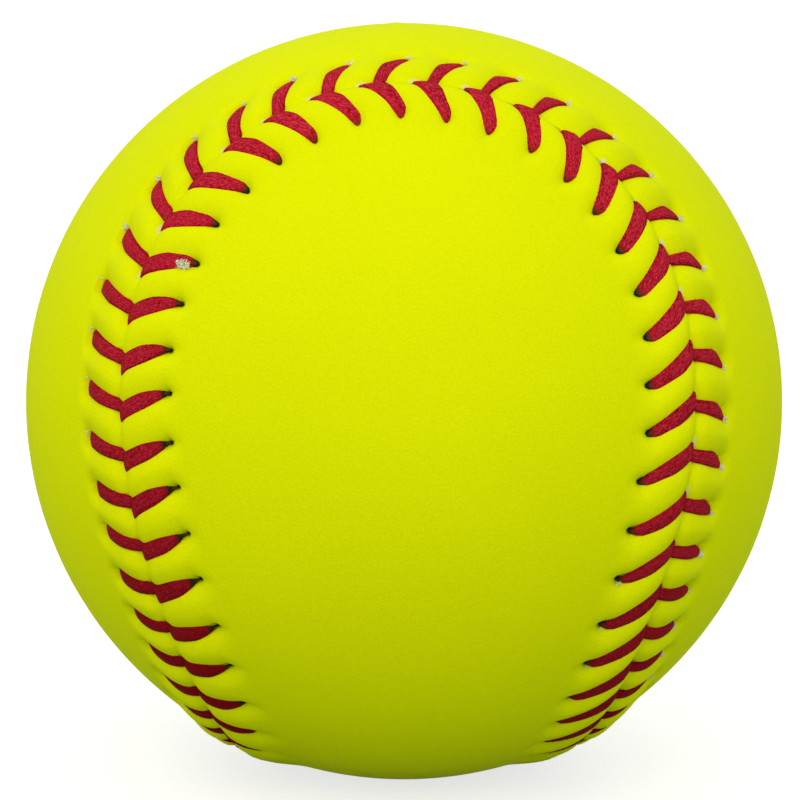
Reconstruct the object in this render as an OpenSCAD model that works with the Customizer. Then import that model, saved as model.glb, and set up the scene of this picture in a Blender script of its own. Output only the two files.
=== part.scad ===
// A sewn softball: a solid moulded core, a cover of two figure-eight panels, and the two
// threads of a two-needle herringbone seam. The centre of the ball is the origin. One
// panel has its lobes at the front and back (-Y and +Y) and its waist underneath; the other
// has its lobes at the sides (-X and +X) and its waist on top. The two are the same piece,
// one of them turned over and round by a quarter.

/* [Ball] */
// Distance round the cover, beside the seam
ball_circumference = 279.4; // [254:0.1:304.8]
// Thickness of the cover
cover_t = 1.7; // [1.5:0.1:2.2]
// Thickness of the adhesive between core and cover
glue_film = 0.1; // [0.05:0.05:0.3]

/* [Seam line] */
// How strongly the seam bends into lobes, as a share of its round part
lobe_share = 0.47; // [0.42:0.01:0.5]
// How far the seam climbs towards the waists, as a share of its round part
climb_share = 1.17; // [1.1:0.01:1.3]
// Gap between the edges of the two panels
seam_gap = 0.16; // [0.1:0.02:0.3]

/* [Raised seam] */
// Height of the cover's pillows beside the seam, above the ball
seam_raise = 1.05; // [0.6:0.05:1.3]
// Radius to which a pillow is rounded
pillow_r = 12; // [10:0.5:16]
// Distance from the seam line to the crown of a pillow
pillow_inset = 2.5; // [1.5:0.1:3.5]
// Distance from the seam line to the outer end of a pillow
pillow_reach = 9.5; // [8:0.1:11]
// Height of the channel under the cover's edge, where the thread crosses
channel_h = 0.85; // [0.75:0.05:1]
// Width of the channel beyond the needle holes
channel_margin = 0.9; // [0.7:0.1:1.5]

/* [Stitches] */
// Number of stitches in the seam, always even
stitch_count = 88; // [76:2:92]
// Distance from the seam line to the needle holes
hole_inset = 6.1; // [5.5:0.1:6.8]
// Distance along the seam from a needle hole to the tip of its stitch
stitch_lean = 3.9; // [3.5:0.1:4.4]
// Distance along the seam between the two threads of one stitch
thread_spacing = 2; // [1.8:0.1:2.2]
// Diameter of a needle hole, and width of the slit where the threads go down into the seam
hole_d = 1.1; // [1.05:0.05:1.3]

/* [Thread] */
// Width of the thread where it lies flat on the cover
leg_w = 2.1; // [1.6:0.1:2.3]
// Thickness of the thread where it lies flat on the cover
leg_t = 0.8; // [0.6:0.05:1]
// Diameter of the thread where it is drawn through the cover
thread_d = 0.84; // [0.7:0.02:0.88]
// Thickness of the thread where it is pressed under the cover
under_t = 0.5; // [0.4:0.05:0.55]
// Height at which the thread clears the cover
thread_lift = 0.1; // [0.05:0.05:0.2]

/* [Hidden] */

core_colour = "#e9dfc4";
cover_colour = "#dde414";
thread_colour = "#b41a32";

ball_r = ball_circumference / (2 * PI);
inner_r = ball_r - cover_t;
core_r = inner_r - glue_film;
channel_r = inner_r + channel_h;
under_r = inner_r + channel_h / 2;

// Overrun of every cut, and reach of the cones from the centre, as a share of the ball
cut_over = 3;
cone_share = 2.4;
// Fineness of the ball, of its pillows and of the needle holes
ball_sides = 96;
pillow_sides = 72;
hole_sides = 24;
// Steps round a panel's edge, round its channel, and in the table of the seam line
edge_steps = 2 * stitch_count;
channel_steps = stitch_count;
table_steps = 8 * stitch_count;
// Half the distance over which the direction along the seam is taken
heading_step = 0.05;
// Corners round the thread
thread_sides = 6;
// Places along a stitch where the thread's section is set, and its width there between
// the width in the needle hole and the full width, as shares
station_shares = [0.4, 0.82];
station_width_shares = [0.8, 1];

function unit(v) = v / norm(v);

// Direction from the centre of the ball to the seam line, for a parameter in degrees. The
// seam runs once round the ball in the order in which it is sewn.
function seam_way(t) =
    let (x = cos(t) + lobe_share * cos(3 * t), y = lobe_share * sin(3 * t) - sin(t))
    unit([x - y, x + y, -sqrt(2) * climb_share * sin(2 * t)]);

// Table of distance run along the seam against parameter
seam_table = [
    for (
        i = 0, s = 0;
        i <= table_steps;
        s = s + ball_r * norm(seam_way((i + 1) * 360 / table_steps) - seam_way(i * 360 / table_steps)),
        i = i + 1
    ) [s, i * 360 / table_steps]
];
seam_length = seam_table[table_steps][0];
pitch = seam_length / stitch_count;

// Direction to the point at distance s along the seam and w beside it. A distance beside
// the seam is positive on the front panel and negative on the side panel.
function way(s, w) =
    let (
        t = lookup(s - seam_length * floor(s / seam_length), seam_table),
        up = seam_way(t),
        along = unit(seam_way(t + heading_step) - seam_way(t - heading_step)),
        bend = w / ball_r * 180 / PI
    )
    up * cos(bend) + cross(up, along) * sin(bend);

// The three directions at a point of the ball: up, along the seam and beside it
function axes_at(s, w) =
    let (up = way(s, w), along = unit(way(s + heading_step, w) - way(s - heading_step, w)))
    [up, along, cross(up, along)];

// Places of stitch i along the seam: its needle hole, and where its thread goes down between
// the panels. A side is 1 for the front panel and -1 for the side panel.
function lean(side) = stitch_lean - (side < 0 ? thread_spacing : 0);
function hole_s(i) = i * pitch - stitch_lean;
function dive_s(i, side) = hole_s(i) + lean(side);
// Place along the seam of the line of stitch i, at distance w from the seam
function line_s(i, side, w) = dive_s(i, side) - lean(side) * w / hole_inset;

// Centre of the round crown of the pillow between stitch i and the next
function pillow_centre(i, side) =
    (ball_r + seam_raise - pillow_r)
    * way(line_s(i, side, pillow_inset) + pitch / 2, side * pillow_inset);

// Distance from the centre of the ball to the cover near stitch i, in one direction
function pillow_surface(d, centre) =
    let (out = d * centre, spare = out * out - centre * centre + pillow_r * pillow_r)
    spare > 0 ? out + sqrt(spare) : 0;
function cover_surface(d, i) =
    max(ball_r, max([for (side = [-1, 1]) for (k = [-1, 0]) pillow_surface(d, pillow_centre(i + k, side))]));

// Core

module core() {
    color(core_colour) sphere(r = core_r, $fn = ball_sides);
}

// Cover

// Solid between the rays from the centre of the ball through the corners of one pillow
module pillow_cell(i, side) {
    ends = [-pillow_inset / 2, pillow_reach];
    corners = [for (k = [0, 1]) for (w = ends) way(line_s(i + k, side, w), side * w)];
    faces = [[1, 2, 4], [1, 4, 3], [0, 2, 1], [0, 4, 2], [0, 3, 4], [0, 1, 3]];
    turned = [for (f = faces) [f[2], f[1], f[0]]];
    points = [[0, 0, 0], each [for (c = corners) cone_share * ball_r * c]];
    polyhedron(points, side > 0 ? faces : turned);
}

module pillow(i, side) {
    intersection() {
        translate(pillow_centre(i, side)) sphere(r = pillow_r, $fn = pillow_sides);
        pillow_cell(i, side);
    }
}

// Solid between the rays from the centre of the ball through a closed line that runs beside
// the seam. Flat strips between mirrored points of the line make its far side.
module panel_cone(side, inset, n) {
    tip_share = side > 0 ? 3 / 8 : 1 / 8;
    line = [for (k = [0 : n - 1]) way((tip_share + k / n) * seam_length, side * inset)];
    walls = [for (k = [0 : n - 1]) [1 + k, 1 + (k + 1) % n, 0]];
    tips = [[n, 2, 1], [n / 2 + 2, n / 2 + 1, n / 2]];
    strips = [for (k = [1 : n / 2 - 2]) [n + 1 - k, n - k, 2 + k, 1 + k]];
    faces = [each walls, each tips, each strips];
    turned = [for (f = faces) [for (k = [len(f) - 1 : -1 : 0]) f[k]]];
    points = [[0, 0, 0], each [for (d = line) cone_share * ball_r * d]];
    polyhedron(points, side > 0 ? faces : turned);
}

// Stands its child on the ball, with +X along the seam and +Z outwards
module at_seam(s, w) {
    axes = axes_at(s, w);
    multmatrix([for (k = [0 : 2]) [axes[1][k], axes[2][k], axes[0][k], 0]])
        translate([0, 0, inner_r - cut_over])
            children();
}

module needle_hole(i, side) {
    at_seam(hole_s(i), side * hole_inset)
        cylinder(d = hole_d, h = cover_t + 2 * cut_over, $fn = hole_sides);
}

module seam_slit(i) {
    slit_l = thread_spacing + hole_d;
    at_seam(dive_s(i, 1) - thread_spacing / 2, 0)
        translate([-slit_l / 2, -hole_d / 2, 0])
            cube([slit_l, hole_d, cover_t + 2 * cut_over]);
}

module cover_panel(side) {
    color(cover_colour)
        difference() {
            intersection() {
                union() {
                    sphere(r = ball_r, $fn = ball_sides);
                    for (i = [0 : stitch_count - 1]) pillow(i, side);
                }
                panel_cone(side, seam_gap / 2, edge_steps);
            }
            sphere(r = inner_r, $fn = ball_sides);
            difference() {
                sphere(r = channel_r, $fn = ball_sides);
                panel_cone(side, hole_inset + channel_margin, channel_steps);
            }
            for (i = [0 : stitch_count - 1]) {
                needle_hole(i, side);
                seam_slit(i);
            }
        }
}

module cover_panel_front() {
    cover_panel(1);
}

module cover_panel_side() {
    cover_panel(-1);
}

// Seam threads

// Direction square to a run of the thread, pointing back along the seam
function back_across(v) = [-abs(v[1]), v[0] * sign(v[1])];
function on_ball(axes, v) = v[0] * axes[1] + v[1] * axes[2];

// Section of the thread: its centre, half its width across and half its thickness over
function section(centre, across, over) =
    [for (k = [0 : thread_sides - 1])
        let (turn = k * 360 / thread_sides)
        centre + across * cos(turn) + over * sin(turn) / cos(180 / thread_sides)];

// Radius at which the underside of a flat section clears the cover
function seat_r(i, s, w, across, half_w) =
    thread_lift + max([for (k = [-1, 0, 1])
        cover_surface(way(s + k * across[0] * half_w / 2, w + k * across[1] * half_w / 2), i)]);

// The sections of one stitch: up through the needle hole, over the cover, and down between
// the panels. Over it the thread runs from the hole to the seam, under the cover it runs on
// to the next needle hole, in the other panel.
function stitch_sections(i, side) =
    let (
        hole = [hole_s(i), side * hole_inset],
        dive = [dive_s(i, side), 0],
        last_dive = [dive_s(i - 1, -side), 0],
        next_hole = [hole_s(i + 1), -side * hole_inset],
        arriving = unit(hole - last_dive),
        leg = unit(dive - hole),
        leaving = unit(next_hole - dive),
        across = back_across(leg),
        half_d = thread_d / 2,
        half_t = leg_t / 2,
        half_u = under_t / 2,
        hole_axes = axes_at(hole[0], hole[1]),
        dive_axes = axes_at(dive[0], dive[1]),
        hole_r = seat_r(i, hole[0], hole[1], across, half_d) + half_t,
        dive_r = seat_r(i, dive[0], dive[1], across, half_d) + half_t
    )
    [
        section(under_r * hole_axes[0],
            half_d * on_ball(hole_axes, back_across(arriving)),
            side * (half_d * on_ball(hole_axes, arriving) - half_u * hole_axes[0])),
        section(hole_r * hole_axes[0],
            half_d * on_ball(hole_axes, across),
            side * (half_t * hole_axes[0] - half_d * on_ball(hole_axes, leg))),
        each [for (k = [0 : len(station_shares) - 1])
            let (
                at = hole + (dive - hole) * station_shares[k],
                half_w = half_d + (leg_w / 2 - half_d) * station_width_shares[k],
                axes = axes_at(at[0], at[1])
            )
            section((seat_r(i, at[0], at[1], across, half_w) + half_t) * axes[0],
                half_w * on_ball(axes, across), side * half_t * axes[0])],
        section(dive_r * dive_axes[0],
            half_d * on_ball(dive_axes, across),
            side * (half_t * dive_axes[0] + half_d * on_ball(dive_axes, leg))),
        section(under_r * dive_axes[0],
            half_d * on_ball(dive_axes, back_across(leaving)),
            side * (half_u * dive_axes[0] + half_d * on_ball(dive_axes, leaving)))
    ];

// One thread: it changes panel with every stitch and ends under the cover
module seam_thread(first_side) {
    sections = [for (i = [0 : stitch_count - 1])
        each stitch_sections(i, i % 2 == 0 ? first_side : -first_side)];
    m = thread_sides;
    last = (len(sections) - 1) * m;
    skin = [for (j = [0 : len(sections) - 2]) for (k = [0 : m - 1])
        let (a = j * m + k, b = j * m + (k + 1) % m)
        each [[a, b, b + m], [a, b + m, a + m]]];
    start = [for (k = [m - 1 : -1 : 0]) k];
    end = [for (k = [0 : m - 1]) last + k];
    color(thread_colour) polyhedron([for (s = sections) each s], [start, end, each skin]);
}

module seam_thread_1() {
    seam_thread(1);
}

module seam_thread_2() {
    seam_thread(-1);
}

core();
cover_panel_front();
cover_panel_side();
seam_thread_1();
seam_thread_2();
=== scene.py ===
"""A softball with a bright yellow cover of two figure-eight panels and a raised herringbone seam.

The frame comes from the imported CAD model: metres, origin at the ball's centre, the seam's
formula and its order of sewing as in the part. The pieces follow in the order of making.
"""

from math import cos, pi, radians, sin, sqrt

import bpy
import numpy as np
from mathutils import Matrix, Vector


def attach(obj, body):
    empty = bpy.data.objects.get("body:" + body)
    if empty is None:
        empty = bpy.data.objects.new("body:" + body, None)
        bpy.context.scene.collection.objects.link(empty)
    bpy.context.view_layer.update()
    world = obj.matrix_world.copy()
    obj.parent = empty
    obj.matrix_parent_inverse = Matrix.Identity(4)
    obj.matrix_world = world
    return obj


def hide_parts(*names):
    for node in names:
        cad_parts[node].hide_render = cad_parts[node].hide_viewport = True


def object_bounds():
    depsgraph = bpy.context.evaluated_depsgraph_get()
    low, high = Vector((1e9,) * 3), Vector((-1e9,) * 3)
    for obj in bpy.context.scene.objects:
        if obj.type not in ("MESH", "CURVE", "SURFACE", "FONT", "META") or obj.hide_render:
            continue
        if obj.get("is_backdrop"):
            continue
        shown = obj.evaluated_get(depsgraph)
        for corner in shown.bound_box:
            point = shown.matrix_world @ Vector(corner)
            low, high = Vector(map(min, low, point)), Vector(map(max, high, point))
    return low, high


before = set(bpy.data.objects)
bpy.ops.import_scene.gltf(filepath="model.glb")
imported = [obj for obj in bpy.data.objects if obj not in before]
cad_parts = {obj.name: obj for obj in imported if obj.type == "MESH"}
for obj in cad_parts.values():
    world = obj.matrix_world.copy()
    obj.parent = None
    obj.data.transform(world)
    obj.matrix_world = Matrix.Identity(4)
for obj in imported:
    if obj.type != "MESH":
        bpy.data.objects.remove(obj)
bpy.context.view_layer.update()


# The core.
# A ball of hard polyurethane foam, moulded in one piece. The cover is glued round it, so it
# doesn't show. The CAD ball stays, and gets the pale tan of cured foam with its fine cells.

MM = 0.001
CORE_TAN = (0.82, 0.74, 0.55)
CORE_SHADE = (0.70, 0.60, 0.40)
CORE_CELLS_PER_M = 1400
CORE_CELL_DEPTH = 0.05 * MM
CORE_ROUGHNESS = (0.7, 0.2)


def both_ways(operation):
    """The two methods of an operator between wires and numbers: as written, and reflected."""
    return (
        lambda self, other: self.math(operation, self, other),
        lambda self, other: self.math(operation, other, self),
    )


class Wire:
    """One output of a node. Sums that are written with wires add Math nodes to their tree."""

    __add__, __radd__ = both_ways("ADD")
    __sub__, __rsub__ = both_ways("SUBTRACT")
    __mul__, __rmul__ = both_ways("MULTIPLY")
    __truediv__, __rtruediv__ = both_ways("DIVIDE")
    __pow__, __rpow__ = both_ways("POWER")
    __gt__, __lt__ = both_ways("GREATER_THAN")

    def __init__(self, bench, socket):
        self.bench = bench
        self.socket = socket

    def __getitem__(self, name):
        """Another output of the same node."""
        return Wire(self.bench, pick(self.socket.node.outputs, name))

    def math(self, operation, *values):
        """A Math node, whose first value is this wire unless others are given."""
        values = values or (self,)
        return self.bench.add("ShaderNodeMath", {"operation": operation}, dict(enumerate(values)))

    def within(self, low=0.0, high=1.0):
        """The value, held between two limits."""
        return self.math("MAXIMUM", self.math("MINIMUM", self, high), low)

    def bell(self, width):
        """1 where the value is 0, and less on both sides of it, over a width."""
        return (-1 * (self / width) ** 2).math("EXPONENT")


def pick(sockets, key):
    """A node's socket by its place, or by its name among those in use."""
    if isinstance(key, int):
        return sockets[key]
    return next(s for s in sockets if s.name == key and s.enabled)


class Bench:
    """A node tree that is being built."""

    def __init__(self, tree):
        self.tree = tree
        tree.nodes.clear()

    def add(self, kind, settings=None, sockets=None, out=0):
        """Adds a node of a kind, sets it, fills its sockets and returns one of its outputs."""
        node = self.tree.nodes.new(kind)
        for name, value in (settings or {}).items():
            if name == "profile":
                self.set_profile(node.mapping, value)
            else:
                setattr(node, name, value)
        for key, value in (sockets or {}).items():
            socket = pick(node.inputs, key)
            if isinstance(value, Wire):
                self.tree.links.new(value.socket, socket)
            else:
                socket.default_value = value
        return Wire(self, pick(node.outputs, out)) if node.outputs else None

    def set_profile(self, mapping, points):
        curve = mapping.curves[0]
        while len(curve.points) < len(points):
            curve.points.new(0.5, 0.5)
        for point, place in zip(curve.points, points):
            point.location = place
        mapping.update()

    def noise(self, place, per_m, detail=2.0, roughness=0.5):
        """Noise of a size, from 0 to 1."""
        sockets = {"Vector": place, "Scale": per_m, "Detail": detail, "Roughness": roughness}
        return self.add("ShaderNodeTexNoise", {}, sockets, "Fac")

    def blend(self, amount, first, second):
        """A colour between two."""
        sockets = {"Factor": amount, "A": rgba(first), "B": rgba(second)}
        return self.add("ShaderNodeMix", {"data_type": "RGBA"}, sockets, "Result")

    def vector(self, operation, *values, out="Vector"):
        sockets = dict(enumerate(values))
        return self.add("ShaderNodeVectorMath", {"operation": operation}, sockets, out)

    def stretch(self, vector, amount):
        """A vector times a number."""
        sockets = {0: vector, "Scale": amount}
        return self.add("ShaderNodeVectorMath", {"operation": "SCALE"}, sockets)

    def xyz(self, x=0.0, y=0.0, z=0.0):
        """A vector of three numbers."""
        return self.add("ShaderNodeCombineXYZ", {}, {0: x, 1: y, 2: z})


def rgba(colour):
    return colour if isinstance(colour, Wire) else (*colour, 1)


def new_finish(name):
    """A material and the bench of its empty tree."""
    material = bpy.data.materials.new(name)
    material.use_nodes = True
    return material, Bench(material.node_tree)


def set_surface(bench, colour, roughness, texture, height, depth, **fixed):
    """Closes a material: its least roughness and what its texture adds, and its relief."""
    least, more = roughness
    bump = bench.add("ShaderNodeBump", {}, {"Strength": 1.0, "Distance": depth, "Height": height})
    sockets = {"Base Color": colour, "Roughness": least + more * texture, "Normal": bump}
    sockets.update({name.replace("_", " "): value for name, value in fixed.items()})
    shader = bench.add("ShaderNodeBsdfPrincipled", {}, sockets)
    bench.add("ShaderNodeOutputMaterial", {}, {"Surface": shader})


def object_place(bench):
    return bench.add("ShaderNodeTexCoord", {}, {}, "Object")


def core_foam():
    """Cured foam, paler in the middle of its cells than between them."""
    material, bench = new_finish("core_foam")
    cells = bench.noise(object_place(bench), CORE_CELLS_PER_M, detail=3.0)
    colour = bench.blend(cells, CORE_SHADE, CORE_TAN)
    set_surface(bench, colour, CORE_ROUGHNESS, cells, cells, CORE_CELL_DEPTH)
    return material


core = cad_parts["core"]
core.data.materials.clear()
core.data.materials.append(core_foam())
for face in core.data.polygons:
    face.use_smooth = True


# The cover.
# Two like panels of optic yellow leather, cut as figure eights and glued round the core. The
# thread draws their edges up into a welt, with a pillow between every two stitches, a crease
# under each stitch, and a pit where the thread goes through its needle hole.

BALL_ROUND = 279.4 * MM
BALL_RADIUS = BALL_ROUND / (2 * pi)
COVER_THICKNESS = 1.7 * MM
LOBE_SHARE = 0.47
CLIMB_SHARE = 1.17
SEAM_GAP = 0.02 * MM
STITCHES = 88
SEAM_STEPS_A_STITCH = 16
SEAM_STEPS = STITCHES * SEAM_STEPS_A_STITCH
WELT_REACH = 8.8 * MM

# The mesh of a panel: rows beside the seam, which crowd towards it, and columns of the cap.
# Points that the thread doesn't draw up count as this far from the seam, in metres.
BAND_STEPS = 30
BAND_CROWDING = 1.15
CAP_COLUMNS = 22
NOT_DRAWN = 1.0

# A swell: the most that it gives, the stitch where it does, and how many stitches it spreads.
SEAM_STRAY = (-1.3 * MM, 15.5, 3.0)


def seam_way(turn):
    """The direction from the ball's centre to the seam, for a turn from 0 to 2 pi."""
    x = cos(turn) + LOBE_SHARE * cos(3 * turn)
    y = LOBE_SHARE * sin(3 * turn) - sin(turn)
    return Vector((x - y, x + y, -sqrt(2) * CLIMB_SHARE * sin(2 * turn))).normalized()


def run_along(points):
    """The distance run along a line of points, at each of them."""
    return np.concatenate([[0], np.cumsum(np.linalg.norm(np.diff(points, axis=0), axis=1))])


def unit(rows):
    """Rows of directions, each made one long."""
    return rows / np.linalg.norm(rows, axis=1)[:, None]


def even_seam(steps, finer=16):
    """Directions to the seam at even steps along it, the directions along it, and its length."""
    turns = [2 * pi * i / (steps * finer) for i in range(steps * finer + 1)]
    fine = np.array([seam_way(t) for t in turns])

    # On this ball the seam strays a little to the side panel at one place low on the right.
    run = run_along(fine)
    most, middle, spread = SEAM_STRAY
    stray = most / BALL_RADIUS * np.exp(-((run / run[-1] * STITCHES - middle) / spread) ** 2)
    beside = unit(np.cross(fine, np.gradient(fine, axis=0)))
    fine = unit(fine + beside * stray[:, None])

    run = run_along(fine)
    wanted = np.arange(steps) * run[-1] / steps
    up = unit(np.stack([np.interp(wanted, run, fine[:, k]) for k in range(3)], 1))
    along = unit(np.roll(up, -1, 0) - np.roll(up, 1, 0))
    return up, along, float(run[-1] * BALL_RADIUS)


seam_up, seam_along, SEAM_LENGTH = even_seam(SEAM_STEPS)
PITCH = SEAM_LENGTH / STITCHES


def new_object(name, data):
    """An object in the scene."""
    made = bpy.data.objects.new(name, data)
    bpy.context.scene.collection.objects.link(made)
    return made


def seam_curve():
    """The seam line as a closed curve, for the lacing to follow."""
    curve = bpy.data.curves.new("seam_line", "CURVE")
    curve.dimensions = "3D"
    line = curve.splines.new("POLY")
    line.points.add(SEAM_STEPS - 1)
    line.points.foreach_set("co", np.c_[seam_up * BALL_RADIUS, np.ones(SEAM_STEPS)].ravel())
    line.use_cyclic_u = True
    return new_object("seam_line", curve)


def ring(side, inset, step=1):
    """Directions to a loop on one panel, at a distance from the seam."""
    up = seam_up[::step]
    along = seam_along[::step]
    angle = side * inset / BALL_RADIUS
    return up * cos(angle) + np.cross(up, along) * sin(angle)


def arc_between(a, b, share):
    """Directions at shares of the way along the arc from a to b."""
    angle = np.arccos(np.clip(a @ b, -1, 1))
    return (a * np.sin((1 - share) * angle) + b * np.sin(share * angle)) / np.sin(angle)


class Shell:
    """The points and faces of one cover panel, before the thread draws it up."""

    def __init__(self, side):
        self.side = side
        self.points = []
        self.across = []
        self.way = []
        self.inset = []
        self.faces = []
        self.count = 0

    def add(self, directions, radius, way, inset, across=0.0):
        first = self.count
        self.points.append(directions * radius)
        self.across.append(np.zeros((len(directions), 3)) + across)
        self.way.append(way)
        self.inset.append(np.full(len(directions), inset))
        self.count += len(directions)
        return np.arange(first, self.count)

    def loop(self, inset, radius, step=1, drawn=True):
        way = np.arange(0, SEAM_STEPS, step) * SEAM_LENGTH / SEAM_STEPS
        across = np.cross(seam_along, seam_up)[::step]
        directions = ring(self.side, inset, step)
        return self.add(directions, radius, way, inset if drawn else NOT_DRAWN, across)

    def join(self, a, b, flip=False):
        """Quads between two loops of the same count, or triangles where the second has half."""
        turn = (self.side > 0) != flip
        if len(a) == len(b):
            for i in range(len(a)):
                j = (i + 1) % len(a)
                self.face((a[i], a[j], b[j], b[i]), turn)
            return
        for i in range(len(b)):
            j = (i + 1) % len(b)
            a0, a1, a2 = a[2 * i], a[2 * i + 1], a[(2 * i + 2) % len(a)]
            self.face((a0, a1, b[i]), turn)
            self.face((a1, b[j], b[i]), turn)
            self.face((a1, a2, b[j]), turn)

    def face(self, corners, turn):
        self.faces.append(tuple(corners) if turn else tuple(corners)[::-1])

    def close(self, edge, insets, radius, flip=False):
        """Two loops, of half and a quarter of the steps, and a cap close the panel."""
        half = self.loop(insets[0], radius, 2, drawn=False)
        quarter = self.loop(insets[1], radius, 4, drawn=False)
        self.join(edge, half, flip)
        self.join(half, quarter, flip)
        self.cap(quarter, radius, flip)

    def cap(self, edge, radius, flip):
        """Rows from one side of the figure eight to the other close the panel inside a loop."""
        turn = (self.side > 0) != flip
        directions = np.concatenate(self.points)[edge] / radius
        steps = len(edge)

        # The front lobe's tip is three eighths of the way round, the side lobe's one eighth.
        tip = steps * (3 if self.side > 0 else 1) // 8
        share = np.arange(1, CAP_COLUMNS)[:, None] / CAP_COLUMNS
        before = None
        for k in range(1, steps // 2):
            left = (tip + k) % steps
            right = (tip - k) % steps
            row_points = arc_between(directions[left], directions[right], share)
            inner = self.add(row_points, radius, np.zeros(CAP_COLUMNS - 1), NOT_DRAWN)
            row = [edge[left], *inner, edge[right]]
            for i in range(CAP_COLUMNS):
                if before is None:
                    self.face((edge[tip], row[i], row[i + 1]), turn)
                else:
                    self.face((before[i], row[i], row[i + 1], before[i + 1]), turn)
            before = row
        far = edge[(tip + steps // 2) % steps]
        for i in range(CAP_COLUMNS):
            self.face((before[i], far, before[i + 1]), turn)

    def mesh(self, name):
        mesh = bpy.data.meshes.new(name)
        mesh.from_pydata(np.concatenate(self.points), [], self.faces)
        for label, values in (("seam_way", self.way), ("seam_inset", self.inset)):
            attribute = mesh.attributes.new(label, "FLOAT", "POINT")
            attribute.data.foreach_set("value", np.concatenate(values).astype(np.float32))
        across = mesh.attributes.new("to_side_panel", "FLOAT_VECTOR", "POINT")
        across.data.foreach_set("vector", np.concatenate(self.across).astype(np.float32).ravel())
        return mesh


def panel_shell(side):
    """A closed shell: a fine band beside the seam, a cap, the cut edge and the glued inside."""
    shell = Shell(side)
    rows = np.linspace(0, 1, BAND_STEPS) ** BAND_CROWDING
    insets = SEAM_GAP / 2 + (WELT_REACH - SEAM_GAP / 2) * rows
    loops = [shell.loop(inset, BALL_RADIUS) for inset in insets]
    for a, b in zip(loops, loops[1:]):
        shell.join(a, b)
    step = insets[-1] - insets[-2]
    last = WELT_REACH + 2 * step
    shell.close(loops[-1], (WELT_REACH + step, last), BALL_RADIUS)
    inside = BALL_RADIUS - COVER_THICKNESS
    rim = shell.loop(SEAM_GAP / 2, inside, drawn=False)
    shell.join(rim, loops[0])
    shell.close(rim, (SEAM_GAP, last), inside, flip=True)
    return shell


def new_tree(name, sizes):
    """A Geometry Nodes tree with a named input for each size, and a wire to read them from."""
    tree = bpy.data.node_groups.new(name, "GeometryNodeTree")
    bench = Bench(tree)
    tree.interface.new_socket("Geometry", in_out="INPUT", socket_type="NodeSocketGeometry")
    tree.interface.new_socket("Geometry", in_out="OUTPUT", socket_type="NodeSocketGeometry")
    for label, value in sizes.items():
        kind = {float: "Float", int: "Int"}.get(type(value), "Object")
        socket = tree.interface.new_socket(label, in_out="INPUT", socket_type="NodeSocket" + kind)
        socket.default_value = value
    return bench, bench.add("NodeGroupInput", {}, {}, 0)


def close_tree(bench, geometry, material):
    """Ends a tree: real copies, smooth faces, the finish, and the output."""
    real = bench.add("GeometryNodeRealizeInstances", {}, {"Geometry": geometry})
    smooth = bench.add("GeometryNodeSetShadeSmooth", {}, {"Geometry": real})
    done = bench.add("GeometryNodeSetMaterial", {}, {"Geometry": smooth, "Material": material})
    bench.add("NodeGroupOutput", {}, {"Geometry": done})
    return bench.tree


def made_by(tree, name, mesh, values):
    """A plain piece: what a tree makes of a mesh with these values of its named inputs."""
    blank = new_object(name + "_blank", mesh)
    modifier = blank.modifiers.new(name, "NODES")
    modifier.node_group = tree
    for item in tree.interface.items_tree:
        if item.in_out == "INPUT" and item.name in values:
            modifier[item.identifier] = values[item.name]
    blank.update_tag()
    bpy.context.view_layer.update()
    evaluated = blank.evaluated_get(bpy.context.evaluated_depsgraph_get())
    finished = bpy.data.meshes.new_from_object(evaluated)
    finished.name = name
    bpy.data.objects.remove(blank)
    return new_object(name, finished)


SEAM_SIZES = {
    "Stitches": float(STITCHES),
    "Pitch": PITCH,
    "Ball radius": BALL_RADIUS,
    "Front hole inset": 6.0 * MM,
    "Side hole inset": 7.0 * MM,
    "Welt raise": 1.05 * MM,
    "Welt top": 2.2 * MM,
    "Welt reach": WELT_REACH,
    "Crease at seam": 0.85 * MM,
    "Crease at front hole": 1.10 * MM,
    "Crease at side hole": 1.00 * MM,
    "Seed": 7,
}
COVER_SIZES = {
    **SEAM_SIZES,
    "Front panel": 1.0,
    "Edge roll": 0.34 * MM,
    "Edge roll width": 0.75 * MM,
    "Edge lap": 0.06 * MM,
    "Scallop": 0.55 * MM,
    "Scallop width": 2.2 * MM,
    "Pit depth": 0.5 * MM,
    "Pit width": 0.6 * MM,
    "Front slot": 0.15 * MM,
    "Side slot": 0.60 * MM,
    "Side hole share": 0.5,
    "Raw edge length": 0.85 * MM,
    "Raw edge width": 0.58 * MM,
    "Raw edge back": 0.5 * MM,
}

# Each leg leans back from its needle hole to the seam, and both ends are sewn unevenly by hand.
FRONT_SEAM_BACK = 1.25 * MM
SIDE_SEAM_BACK = 1.90 * MM
UNEVEN_SEAM_END = 0.12 * MM
UNEVEN_HOLE = 0.22 * MM
UNEVEN_INSET = 0.22 * MM
LEG_BOW = 1.05
FRONT_LEG_BOW_MORE = 0.08
UNEVEN_BOW = (-0.12, 0.25)

# Drifts: a mean, a swing, the stitch where it is most, and how many waves go round the seam.
SEAM_DRIFT = (-1.17 * MM, 2.41 * MM, 42.2, 2)
FRONT_HOLE_DRIFT = (-5.18 * MM, 3.14 * MM, 0.3, 2)
SIDE_HOLE_DRIFT = (-3.80 * MM, 1.80 * MM, 5.9, 2)

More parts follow.
